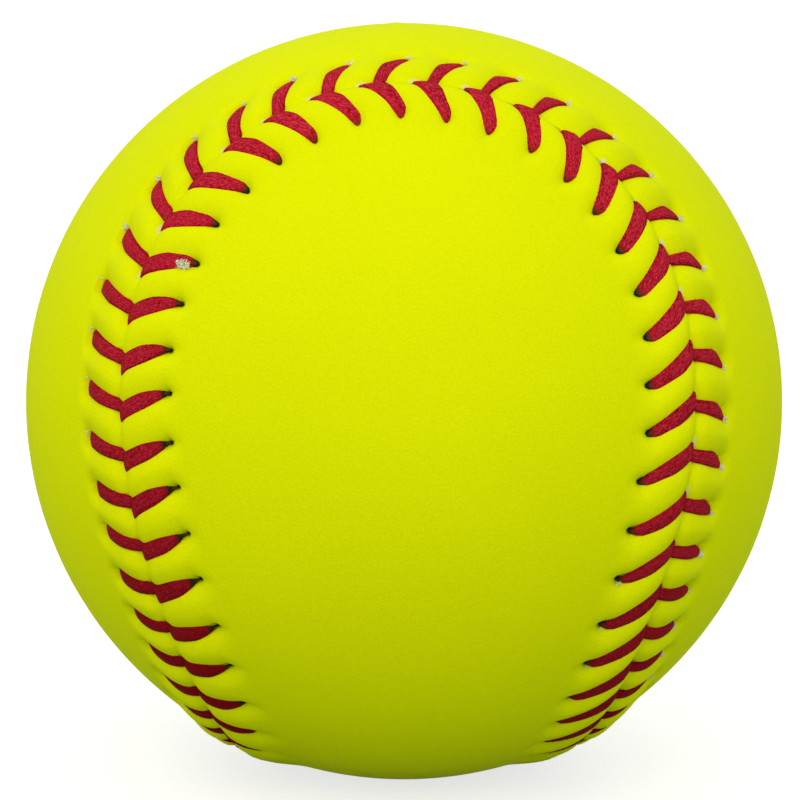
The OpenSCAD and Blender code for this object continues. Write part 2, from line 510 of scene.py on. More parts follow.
# Swells, as above, of the seam ends, the needle holes' places, their pits and the torn edges.
SIDE_SEAM_FURTHER_BACK = (1.2 * MM, 29.5, 3.0)
CLOSER_HOLES = (0.75 * MM, 33.8, 1.9)
CLOSER_TOP_HOLES = (0.90 * MM, 30.5, 4.5)
CLOSER_LOW_HOLES = (1.8 * MM, 53.0, 2.8)
FURTHER_HOLES = (1.1 * MM, 41.0, 3.5)
HOLES_BEHIND = (-1.6 * MM, 17.0, 5.0)
HOLES_AHEAD = (3.6 * MM, 52.5, 3.2)
SIDE_HOLES_MORE = 0.9
SMALL_PITS = (0.6, 48.0, 5.0)
CLEAN_LEFT = (1.3, 48.0, 6.0)
CLEAN_RIGHT = (0.7, 19.0, 5.0)

# How the drawn-up leather lies: how much the welt dips at the seam and how lumpy it is, how
# the creases deepen to their holes, fade, narrow and pinch, and how the seam edge arches.
SEAM_DIP = 0.25
LUMPS_PER_M = 260.0
LUMP_SHARE = 0.14
CREASE_DEEPENS = 1.5
CREASE_FADES = 1.4
CREASE_NARROWS = 0.12
CREASE_PINCH = 1.6
FRONT_CREASE_PINCH_MORE = 0.3
PIT_BEYOND_HOLE = 0.12 * MM
FRONT_PIT_LONGER = 0.35
SCALLOP_CURVE = 1.5
SCALLOP_BACK = 0.25
BARED_STITCHES = (-0.3, 1.0)
RAW_EDGE_REACH = 1.3
SHARP_CORNER = 1.0

# Each draw of chance has a channel. Where the panels differ, the front one's is two more.
SEAM_END_DRAW = 1
HOLE_DRAW = 2
BOW_DRAW = 3
RAW_EDGE_DRAW = 5
INSET_DRAW = 6


def drift(given, stitch, values):
    """How far hand sewing wanders from even spacing, in waves round the whole seam."""
    mean, swing, peak, waves = values
    return mean + swing * ((stitch - peak) * (2 * pi * waves) / given["Stitches"]).math("COSINE")


def swell(stitch, values):
    """A change that rises and falls over a few stitches."""
    most, middle, spread = values
    return most * (stitch - middle).bell(spread)


def chance(given, index, low, high, channel, kind="FLOAT"):
    """A numbered thing's own value between two limits, the same wherever it is asked for."""
    sockets = {"Min": low, "Max": high, "ID": index, "Seed": given["Seed"] + channel}
    return given.bench.add("FunctionNodeRandomValue", {"data_type": kind}, sockets, "Value")


def uneven(given, stitch, low, high, channel):
    """A stitch's own value, by its number round the seam."""
    number = stitch.math("FLOORED_MODULO", stitch, given["Stitches"])
    return chance(given, number, low, high, channel)


def of_panel(front, front_value, side_value):
    """The front panel's value or the side panel's."""
    return front * front_value + (1 - front) * side_value


def hole_inset(given, stitch, front, own=1.0):
    """How far a stitch's needle hole is from the seam."""
    closer = swell(stitch, CLOSER_HOLES) + swell(stitch, CLOSER_LOW_HOLES)
    closer = closer + swell(stitch, CLOSER_TOP_HOLES)
    further = swell(stitch, FURTHER_HOLES)
    inset = of_panel(front, given["Front hole inset"] - closer, given["Side hole inset"] + further)
    draw = front * 2 + INSET_DRAW
    return inset + own * uneven(given, stitch, -UNEVEN_INSET, UNEVEN_INSET, draw)


def leg_way(given, stitch, front, share, own=1.0):
    """The place along the seam of a stitch's leg, at a share of the way from seam to hole."""
    nominal = stitch * given["Pitch"]
    start = nominal + drift(given, stitch, SEAM_DRIFT)
    side_back = swell(stitch, SIDE_SEAM_FURTHER_BACK) + SIDE_SEAM_BACK
    start = start - of_panel(front, FRONT_SEAM_BACK, side_back)
    off = uneven(given, stitch, -UNEVEN_SEAM_END, UNEVEN_SEAM_END, SEAM_END_DRAW)
    start = start + own * off
    front_hole = drift(given, stitch, FRONT_HOLE_DRIFT)
    end = nominal + of_panel(front, front_hole, drift(given, stitch, SIDE_HOLE_DRIFT))
    behind = swell(stitch, HOLES_BEHIND) * (1 + (1 - front) * SIDE_HOLES_MORE)
    end = end + behind + swell(stitch, HOLES_AHEAD)
    end = end + own * uneven(given, stitch, -UNEVEN_HOLE, UNEVEN_HOLE, front * 2 + HOLE_DRAW)
    more = FRONT_LEG_BOW_MORE + own * uneven(given, stitch, *UNEVEN_BOW, BOW_DRAW)
    bow = LEG_BOW + front * more
    return start + (end - start) * (1 - (1 - share) ** bow)


def welt_past(given, inset, start):
    """The share of the way from a line on the welt to the foot of its shoulder."""
    return ((inset - start) / (given["Welt reach"] - start)).within()


def welt_height(given, inset):
    """The height of the drawn-up cover between stitches, by its distance from the seam."""
    fall = (welt_past(given, inset, given["Welt top"]) * pi).math("COSINE")
    roll = (1 - inset / given["Welt top"]).within()
    return given["Welt raise"] * (0.5 + 0.5 * fall - SEAM_DIP * roll * roll)


def crease_depth(given, inset, hole, front):
    """The depth of the crease under a stitch, which is deepest at its needle hole."""
    share = (inset / hole).within()
    past = welt_past(given, inset, hole)
    at_seam = given["Crease at seam"]
    at_hole = of_panel(front, given["Crease at front hole"], given["Crease at side hole"])
    depth = at_seam + (at_hole - at_seam) * share ** CREASE_DEEPENS
    return depth * (1 - past) ** CREASE_FADES


def store(bench, geometry, label, value):
    """Keeps a number on every point of a geometry."""
    settings = {"data_type": "FLOAT", "domain": "POINT"}
    sockets = {"Geometry": geometry, "Name": label, "Value": value}
    return bench.add("GeometryNodeStoreNamedAttribute", settings, sockets)


def named(bench, label, kind="FLOAT"):
    """A number or direction kept on the points of the mesh."""
    settings = {"data_type": kind}
    return bench.add("GeometryNodeInputNamedAttribute", settings, {"Name": label}, "Attribute")


def cover_tree(material):
    """Draws a panel up along the seam and marks its needle holes and raw edge for the finish."""
    bench, given = new_tree("drawn_cover", COVER_SIZES)
    front = given["Front panel"]
    pitch = given["Pitch"]
    way = named(bench, "seam_way")
    inset = named(bench, "seam_inset")
    drawn = inset < NOT_DRAWN / 2

    # Pillows between the stitches, and a crease where each leg lies.
    share = (inset / hole_inset(given, way / pitch, front, 0.0)).within()
    guess = (way - leg_way(given, way / pitch, front, share, 0.0)) / pitch + way / pitch
    stitch = guess.math("ROUND")
    hole = hole_inset(given, stitch, front)
    share = (inset / hole).within()
    slot = share * (given["Side slot"] + (given["Front slot"] - given["Side slot"]) * front)
    beside = (way - leg_way(given, stitch, front, share)).math("ABSOLUTE")
    off = (beside - slot).within(0.0, 1.0)
    past = welt_past(given, inset, hole)
    half_width = pitch * (0.5 - CREASE_NARROWS * past) - slot
    open_share = (1 - off / half_width).within()
    pinch = CREASE_PINCH + FRONT_CREASE_PINCH_MORE * front
    crease = crease_depth(given, inset, hole, front) * open_share ** pinch

    # A pit where each leg goes in, longer across the seam on the front panel.
    outward = (inset - hole - PIT_BEYOND_HOLE) * (1 - FRONT_PIT_LONGER * front)
    hole_off = (off * off + outward * outward).math("SQRT")
    hole_off = hole_off * (1 + front * swell(stitch, SMALL_PITS))
    hole_off = hole_off / (front + (1 - front) * given["Side hole share"])
    pit = given["Pit depth"] * hole_off.bell(given["Pit width"])
    position = bench.add("GeometryNodeInputPosition")
    lump = bench.noise(position, LUMPS_PER_M) - 0.5
    edge_near = inset.bell(given["Edge roll width"])
    edge = edge_near * (given["Edge roll"] + (1 - front) * given["Edge lap"])
    height = welt_height(given, inset) * (1 + LUMP_SHARE * lump) - crease - edge - pit

    # The seam edge arcs over between stitches, and the front panel laps a hair on the other.
    seam_off = (way - leg_way(given, way / pitch, 1.0, 0.0, 0.0)) / pitch
    seam_off = (seam_off - seam_off.math("ROUND")) * 2
    scallop = given["Scallop"] * ((1 - seam_off * seam_off) ** SCALLOP_CURVE - SCALLOP_BACK)
    scallop = scallop * inset.bell(given["Scallop width"])
    scallop = scallop + front * given["Edge lap"] * edge_near
    to_side = named(bench, "to_side_panel", "FLOAT_VECTOR")
    lifted = bench.stretch(bench.vector("NORMALIZE", position), height * drawn)
    offset = bench.vector("ADD", lifted, bench.stretch(to_side, scallop * drawn))

    # Pale raw leather at the side panel's edge, where the thread has torn it.
    apex = stitch * pitch + drift(given, stitch, SEAM_DRIFT) - given["Raw edge back"]
    raw_along = (way - apex) / given["Raw edge length"]
    raw_across = inset / given["Raw edge width"]
    raw_off = (raw_along ** 2 + raw_across ** 2).math("SQRT")
    torn = (1 - swell(stitch, CLEAN_LEFT) - swell(stitch, CLEAN_RIGHT)).within()
    bared = uneven(given, stitch, *BARED_STITCHES, RAW_EDGE_DRAW).within() * (1 - front) * torn
    kept = store(bench, given, "hole_off", hole_off)
    kept = store(bench, kept, "raw_edge", (RAW_EDGE_REACH - raw_off).within() * bared)

    moved = bench.add("GeometryNodeSetPosition", {}, {"Geometry": kept, "Offset": offset})
    corner = bench.add("GeometryNodeInputMeshEdgeAngle", {}, {}, "Unsigned Angle") > SHARP_CORNER
    sockets = {"Geometry": moved, "Selection": corner, "Shade Smooth": False}
    sharp = bench.add("GeometryNodeSetShadeSmooth", {"domain": "EDGE"}, sockets)
    return close_tree(bench, sharp, material)


# The leather's finish: how its grain, pores and dye are sized and mixed, how far the painted
# shade of a needle hole reaches, how the torn edge shows, and how dull it is.
YELLOW = (0.80, 0.875, 0.0004)
YELLOW_DEEP = (0.70, 0.79, 0.0002)
PIT_SHADE_BROWN = (0.06, 0.035, 0.004)
RAW_EDGE = (0.72, 0.70, 0.52)
GRAIN_PER_M = 3600.0
PORES_PER_M = 8000.0
DYE_PATCHES_PER_M = 45.0
BRIGHT_BY = {"grain": 1.8, "dye": 0.6, "less": 0.7}
PIT_SHADE = {"width": 0.30 * MM, "reach": 1.4, "pores": 0.5}
RAW_BY = {"edge": 1.4, "pores": 0.8, "least": 0.3}
GRAIN_SHARE = 0.7
GRAIN_DEPTH = 0.06 * MM
LEATHER_ROUGHNESS = (0.58, 0.12)
LEATHER_GLOSS = 0.01


def attribute(bench, label):
    """A number kept on the piece's own points."""
    return bench.add("ShaderNodeAttribute", {"attribute_name": label}, {}, "Fac")


def cover_leather():
    """Matte dyed leather: fine even grain, a little uneven dye, and painted shade in needle holes.
    """
    material, bench = new_finish("cover_leather")
    place = object_place(bench)
    grain = bench.noise(place, GRAIN_PER_M, roughness=0.65)
    pores = bench.noise(place, PORES_PER_M, detail=1.0)
    dye = bench.noise(place, DYE_PATCHES_PER_M)
    bright = BRIGHT_BY["grain"] * grain + BRIGHT_BY["dye"] * dye - BRIGHT_BY["less"]
    colour = bench.blend(bright.within(), YELLOW_DEEP, YELLOW)
    hole_off = attribute(bench, "hole_off")
    # Painted shade: the leather in and round each needle hole's pit is painted dark brown.
    pit = PIT_SHADE["reach"] - hole_off / PIT_SHADE["width"] + PIT_SHADE["pores"] * (pores - 0.5)
    raw = attribute(bench, "raw_edge") * RAW_BY["edge"] + (pores - 0.5) * RAW_BY["pores"]
    colour = bench.blend((raw * (raw > RAW_BY["least"])).within(), colour, RAW_EDGE)
    colour = bench.blend(pit.within(), colour, PIT_SHADE_BROWN)
    height = GRAIN_SHARE * grain + (1 - GRAIN_SHARE) * pores
    set_surface(bench, colour, LEATHER_ROUGHNESS, grain, height, GRAIN_DEPTH,
                Specular_IOR_Level=LEATHER_GLOSS)
    return material


leather = cover_leather()
cover = cover_tree(leather)
for panel_name, side in (("cover_panel_front", 1), ("cover_panel_side", -1)):
    blank_mesh = panel_shell(side).mesh(panel_name + "_blank")
    values = {"Front panel": float(side > 0)}
    panel = made_by(cover, panel_name + "_leather", blank_mesh, values)
    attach(panel, "root")
    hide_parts(panel_name)


# The lacing.
# Two lengths of crimson waxed thread, flat and a little furry. Each comes up through a needle
# hole, lies across the welt, goes down into the seam, and passes under the other panel to its
# next hole, so the two take turns and make a row of V stitches.

LEG_RINGS = 15
LEG_SIDES = 8
LEG_TOP_SHARE = 0.75
SECTION_FLATNESS = 0.6
LACING_SIZES = {
    **SEAM_SIZES,
    "Seam line": None,
    "First leg": 1.0,
    "Front leg width": 2.25 * MM,
    "Side leg width": 2.05 * MM,
    "Leg thickness": 0.78 * MM,
    "Tuck depth": 1.3 * MM,
    "Front leg overlap": 0.28 * MM,
    "Fluff per area": 2.4 / MM**2,
    "Fluff length": 0.50 * MM,
    "Fluff thickness": 0.022 * MM,
}

# Curves drawn over a leg, from its needle hole at 0 to the seam at 1: how much of its way is
# left, how deep it is tucked in, how thick it is, and how its section tips over at the ends.
WAY_LEFT = [(0, 1), (0.09, 1), (0.17, 0.93), (0.34, 0.74), (0.6, 0.42), (0.84, 0.10),
            (0.92, 0.01), (1, 0)]
SUNK = [(0, 1), (0.09, 0.28), (0.17, 0.04), (0.24, 0), (0.86, 0), (0.92, 0.12), (1, 1)]
THICK = [(0, 0.75), (0.2, 0.85), (0.5, 1), (0.75, 0.95), (0.9, 0.8), (1, 0.6)]
TIP = [(0, 0), (0.09, 0.12), (0.2, 0.4), (0.3, 0.5), (0.84, 0.5), (0.92, 0.66), (1, 1)]

# How wide a leg is, how far its section swings round to lie along the seam, how much its side
# is drawn to a point near the hole, and how much of it the seam's edge hides.
FRONT_WIDE = [(0, 0.36), (0.09, 0.46), (0.17, 0.64), (0.3, 0.87), (0.5, 1), (0.75, 1),
              (0.9, 1), (1, 1)]
SIDE_WIDE = [(0, 0.94), (0.09, 0.97), (0.2, 1), (0.4, 1), (0.6, 0.94), (0.8, 0.80),
             (0.92, 0.70), (1, 0.65)]
FRONT_SWING = [(0, 0.1), (0.15, 0.1), (0.3, 0), (0.5, 0.05), (0.7, 0.4), (0.84, 0.85),
               (0.92, 1), (1, 1)]
SIDE_SWING = [(0, 0.9), (0.09, 0.9), (0.25, 0.7), (0.45, 0.2), (0.6, 0.2), (0.8, 0.6),
              (0.92, 1), (1, 1)]
POINTED = [(0, 0.9), (0.09, 0.82), (0.2, 0.52), (0.34, 0.2), (0.5, 0), (1, 0)]
CUT = [(0, 0), (0.6, 0), (0.8, 0.1), (0.92, 0.25), (1, 0.3)]

# Drifts and swells of the legs, and how uneven they are.
POINTED_WAVE = (0.5, 0.5, 27.0, 2)
TAPER_WAVE = (2.0, -1.3, 30.0, 2)
CUT_WAVE = (0.5, 0.5, 26.0, 2)
CUT_MORE = (1.1, 17.5, 3.0)
CUT_MORE_ON_TOP = (0.5, 29.5, 2.2)
LESS_SWING = (0.5, 29.5, 2.2)
WIDER_LEGS = (0.28, 31.5, 6.0)
WIDER_LOW_LEGS = (0.65, 16.5, 3.0)
NARROW_STARTS = (0.6, 30.0, 4.0)
NARROW_CURVE = 3
POINTED_CURVE = 1.5
UNEVEN_TAPER = (-0.3, 0.3)
UNEVEN_WIDTH = (0.93, 1.06)
TAPER_DRAW = 11
WIDTH_DRAW = 12

# How a leg lies in its crease: how proud, in shares of its thickness, how far ahead and behind
# its direction is taken, and how much a skew section may widen it.
LEG_PROUD = 0.30
FRONT_SEAM_END_PROUD = 0.22
LOOK_AHEAD = 0.04
LEAST_SKEW = 0.55
SAME_POINT = 0.0005 * MM
END_RING = 0.01

# The nap: the part of a leg that it stands on, and how it lies.
NAP_FROM = 0.16
NAP_TO = 0.88
NAP_LOWEST = -0.1
NAP_LIFT = 0.10
NAP_CURL = 0.5
NAP_WAY_DRAW = 13
NAP_DRAW = 14
SHORTEST_FIBRE = 0.4
HAIR_SIDES = 3
HAIR_BENDS = 3


def on_ball(given, seam, way, beside, height):
    """A point beside the seam at a height over the ball, with the directions there."""
    bench = given.bench
    length = way.math("FLOORED_MODULO", way, given["Pitch"] * given["Stitches"])
    sockets = {"Curves": seam, "Length": length}
    at = bench.add("GeometryNodeSampleCurve", {"mode": "LENGTH"}, sockets, "Position")
    up = bench.vector("NORMALIZE", at)
    along = bench.vector("NORMALIZE", at["Tangent"])
    across = bench.vector("CROSS_PRODUCT", up, along)
    angle = beside / given["Ball radius"]
    out = bench.vector("ADD", bench.stretch(up, angle.math("COSINE")),
                       bench.stretch(across, angle.math("SINE")))
    return bench.stretch(out, given["Ball radius"] + height), out, along


def seam_from(given):
    """The seam line's curve, from the object that a tree is given."""
    settings = {"transform_space": "ORIGINAL"}
    sockets = {"Object": given["Seam line"]}
    return given.bench.add("GeometryNodeObjectInfo", settings, sockets, "Geometry")


def profile(bench, share, points):
    """A value that follows a drawn curve over a share from 0 to 1."""
    return bench.add("ShaderNodeFloatCurve", {"profile": points}, {"Value": share})


def panel_profile(bench, share, front, front_points, side_points):
    """A drawn curve for the front panel's legs, and another for the side panel's."""
    here = profile(bench, share, front_points)
    there = profile(bench, share, side_points)
    return there + (here - there) * front


def turned(bench, first, second, share):
    """A direction between two."""
    both = bench.vector("ADD", bench.stretch(first, 1 - share), bench.stretch(second, share))
    return bench.vector("NORMALIZE", both)


def blank_legs(bench):
    """A flat grid for each stitch, whose points know their stitch, ring and place round it."""
    sockets = {"Size X": 1.0, "Size Y": 1.0, "Vertices X": LEG_RINGS, "Vertices Y": LEG_SIDES + 1}
    blank = bench.add("GeometryNodeMeshGrid", {}, sockets, "Mesh")
    blank = bench.add("GeometryNodeFlipFaces", {}, {"Mesh": blank})
    position = bench.add("GeometryNodeInputPosition")
    spot = bench.add("ShaderNodeSeparateXYZ", {}, {0: position}, "X")
    blank = store(bench, blank, "ring_share", spot + 0.5)
    turn_share = spot["Y"] + 0.5
    over = (turn_share / LEG_TOP_SHARE).within()
    under = ((turn_share - LEG_TOP_SHARE) / (1 - LEG_TOP_SHARE)).within()
    turn = (over + under) * pi
    blank = store(bench, blank, "aside", turn.math("COSINE"))
    blank = store(bench, blank, "upward", turn.math("SINE"))
    line = bench.add("GeometryNodeMeshLine", {}, {"Count": STITCHES})
    line = store(bench, line, "stitch", bench.add("GeometryNodeInputIndex"))
    copies = bench.add("GeometryNodeInstanceOnPoints", {}, {"Points": line, "Instance": blank})
    return bench.add("GeometryNodeRealizeInstances", {}, {"Geometry": copies})


def hair(given, length, thickness, curl):
    """One thin bent fibre that stands on its blunt end, with a closed point."""
    bench = given.bench
    sockets = {"Vertices": HAIR_SIDES, "Side Segments": HAIR_BENDS, "Radius Top": 0.0,
               "Radius Bottom": thickness, "Depth": length}
    straight = bench.add("GeometryNodeMeshCone", {"fill_type": "NGON"}, sockets, "Mesh")
    position = bench.add("GeometryNodeInputPosition")
    z = bench.add("ShaderNodeSeparateXYZ", {}, {0: position}, "Z")
    sockets = {"Geometry": straight, "Offset": bench.xyz(z * z * curl / length)}
    bent = bench.add("GeometryNodeSetPosition", {}, sockets)
    return store(bench, bent, "fluff", 1.0)


def strewn(given, points, fibre, way, channel, kept=True):
    """A fibre at each kept point, turned a given way and of uneven length, by two draws."""
    bench = given.bench
    turn = bench.add("FunctionNodeAlignRotationToVector", {"axis": "Z"}, {"Vector": way})
    index = bench.add("GeometryNodeInputIndex")
    spin = bench.xyz(z=chance(given, index, 0.0, 2 * pi, channel))
    roll = bench.add("FunctionNodeEulerToRotation", {}, {0: spin})
    turn = bench.add("FunctionNodeRotateRotation", {"rotation_space": "LOCAL"},
                     {"Rotation": turn, "Rotate By": roll})
    scale = chance(given, index, SHORTEST_FIBRE, 1.0, channel + 1)
    sockets = {"Points": points, "Selection": kept, "Instance": fibre, "Rotation": turn,
               "Scale": scale}
    return bench.add("GeometryNodeInstanceOnPoints", {}, sockets)


def any_way(given, index, channel):
    """A numbered thing's own direction, any way."""
    return chance(given, index, (-1, -1, -1), (1, 1, 1), channel, "FLOAT_VECTOR")


def lacing_tree(material):
    """All the legs of one thread, each a flat furry tube from its needle hole to the seam."""
    bench, given = new_tree("lacing", LACING_SIZES)
    seam = seam_from(given)
    legs = blank_legs(bench)
    stitch = named(bench, "stitch")
    count = stitch + given["First leg"]
    front = count.math("FLOORED_MODULO", count, 2.0)

    # The first and last rings are drawn to a point, which lies where the next ring does.
    ring_share = named(bench, "ring_share")
    run = ((ring_share * (LEG_RINGS - 1) - 1) / (LEG_RINGS - 3)).within()
    open_end = (ring_share > END_RING) * (ring_share < 1 - END_RING)
    upward = named(bench, "upward")
    upward = upward.math("SIGN") * upward.math("ABSOLUTE") ** SECTION_FLATNESS

    # How wide each leg is along its length, and how its sides are pointed and cut.
    taper = drift(given, stitch, TAPER_WAVE) + uneven(given, stitch, *UNEVEN_TAPER, TAPER_DRAW)
    wide = panel_profile(bench, run, front, FRONT_WIDE, SIDE_WIDE) ** (1 + front * (taper - 1))
    wide = wide * uneven(given, stitch, *UNEVEN_WIDTH, WIDTH_DRAW)
    wider = swell(stitch, WIDER_LEGS) + swell(stitch, WIDER_LOW_LEGS)
    narrower = (1 - front) * swell(stitch, NARROW_STARTS) * run ** NARROW_CURVE
    wide = wide * (1 + front * wider - narrower)
    pointed = drift(given, stitch, POINTED_WAVE) ** POINTED_CURVE * (1 - front)
    pointed = pointed * profile(bench, run, POINTED)
    cut_more = swell(stitch, CUT_MORE) + swell(stitch, CUT_MORE_ON_TOP)
    cut = profile(bench, run, CUT) * (drift(given, stitch, CUT_WAVE) + cut_more) * front

    # The middle line of a leg lies in its crease, and is tucked in at both ends.
    side = front * 2 - 1
    hole = hole_inset(given, stitch, front)
    way_left = profile(bench, run, WAY_LEFT)
    way_left = way_left - (1 - way_left) * given["Front leg overlap"] * front / hole
    inset = way_left * hole
    lying = welt_height(given, inset) - crease_depth(given, inset, hole, front)
    proud = LEG_PROUD + FRONT_SEAM_END_PROUD * front * (1 - way_left)
    lying = lying + given["Leg thickness"] * proud
    height = lying - profile(bench, run, SUNK) * given["Tuck depth"]
    way = leg_way(given, stitch, front, way_left)
    centre, up, along = on_ball(given, seam, way, side * inset, height)

    # Its section stands square to it, and swings round to lie along the seam where it goes in.
    ahead = way_left.within(LOOK_AHEAD, 1 - LOOK_AHEAD)
    ends = []
    for step in (-LOOK_AHEAD, LOOK_AHEAD):
        share = ahead + step
        way = leg_way(given, stitch, front, share)
        end, _, _ = on_ball(given, seam, way, side * share * hole, 0.0)
        ends.append(end)
    lay = bench.vector("NORMALIZE", bench.vector("SUBTRACT", *ends))
    square = bench.vector("NORMALIZE", bench.vector("CROSS_PRODUCT", up, lay))
    swing = panel_profile(bench, run, front, FRONT_SWING, SIDE_SWING)
    swing = swing * (1 - front * swell(stitch, LESS_SWING))
    across = turned(bench, square, bench.stretch(along, side), swing)
    skew = bench.vector("DOT_PRODUCT", across, square, out="Value").within(LEAST_SKEW, 1.0)
    forward = bench.vector("CROSS_PRODUCT", across, up)
    tilt = (profile(bench, run, TIP) - 0.5) * pi
    face_up = bench.vector("ADD", bench.stretch(up, tilt.math("COSINE")),
                           bench.stretch(forward, tilt.math("SINE")))

    width = given["Side leg width"] + (given["Front leg width"] - given["Side leg width"]) * front
    half = width * wide * open_end * 0.5 / skew
    shift = half * (pointed - cut)
    sideways = shift + half * (1 - pointed - cut) * named(bench, "aside")
    half_thick = given["Leg thickness"] * profile(bench, run, THICK) * open_end * 0.5
    offset = bench.vector("ADD", bench.stretch(across, sideways),
                          bench.stretch(face_up, half_thick * upward))
    legs = store(bench, legs, "run", run)
    legs = store(bench, legs, "front", front)
    sockets = {"Geometry": legs, "Position": bench.vector("ADD", centre, offset)}
    legs = bench.add("GeometryNodeSetPosition", {}, sockets)
    sockets = {"Geometry": legs, "Distance": SAME_POINT}
    legs = bench.add("GeometryNodeMergeByDistance", {}, sockets)

    # Loose fibres of the thread's nap lie over the part in view.
    run_kept = named(bench, "run")
    in_view = (run_kept > NAP_FROM) * (run_kept < NAP_TO) * (named(bench, "upward") > NAP_LOWEST)
    settings = {"distribute_method": "RANDOM"}
    sockets = {"Mesh": legs, "Selection": in_view, "Density": given["Fluff per area"],
               "Seed": given["Seed"]}
    spots = bench.add("GeometryNodeDistributePointsOnFaces", settings, sockets, "Points")
    index = bench.add("GeometryNodeInputIndex")
    lifted = bench.stretch(spots["Normal"], NAP_LIFT)
    flat = bench.vector("ADD", any_way(given, index, NAP_WAY_DRAW), lifted)
    fibre = hair(given, given["Fluff length"], given["Fluff thickness"], NAP_CURL)
    nap = strewn(given, spots, fibre, flat, NAP_DRAW)
    both = bench.add("GeometryNodeJoinGeometry")
    for geometry in (nap, legs):
        bench.tree.links.new(geometry.socket, both.socket.node.inputs[0])
    return close_tree(bench, both, material)


# The thread's finish. Its fibres slant over a leg of this length and half width in millimetres,
# and no two stitches have the same. Painted shade darkens it in waves round the seam, from its
# best lit stitch to its most shaded, and a leg's end in a front hole has a painted shadow with a
# painted highlight in it, but for a few at one place near the top.
CRIMSON = (0.46, 0.003, 0.022)
CRIMSON_PALE = (0.68, 0.050, 0.075)
CRIMSON_DEEP_AND_SHADE = (0.17, 0.001, 0.003)
THREAD_END_SHADOW = (0.030, 0.017, 0.004)
THREAD_END_HIGHLIGHT = (0.15, 0.11, 0.045)
LEG_LONG = 7.0
LEG_HALF_WIDE = 1.1
FIBRE_LAY = {"x down": 0.8, "x across": 0.5, "y across": 3.4, "y down": 1.1, "stitch": 3.7}
GROOVE_LAY = {"down": 0.12, "across": 1.6, "stitch": 5.3}
FIBRES_PER_MM = 3.0
GROOVES_PER_MM = 1.0
SPECKS_PER_M = 7000.0
SIDE_SHADE_CURVE = 3.0
MIDDLE_FIBRE = 0.47
MIDDLE_GROOVE = 0.44
PALE_BY = {"fibre": 6.0, "speck": 2.0, "edge": 0.5, "nap": 0.3}
DEEP_BY = {"fibre": 5.0, "groove": 3.0, "speck": 1.5, "edge": 0.6}
BEST_LIT_STITCH = 32.5
SHADE_WAVES = 2
SHADE_CURVE = 1.6
SHADE_STRENGTH = 1.1
DEEPEST_SHADE = 0.85
LIT_END_STITCH = 33.0
LIT_END_SPREAD = 5.0
END_SHADOW = {"length": 0.165, "crisp": 18, "speck": 1.6}
SHADOW_TAILS = (0.10, 46.0, 3.5)
END_HIGHLIGHT = {"place": 0.12, "short": 26, "narrow": 1.5, "strength": 0.45}
RELIEF = {"fibre": 0.6, "speck": 0.35, "groove": 0.4, "depth": 0.16 * MM}
THREAD_ROUGHNESS = (0.75, 0.15)
THREAD_GLOSS = 0.03


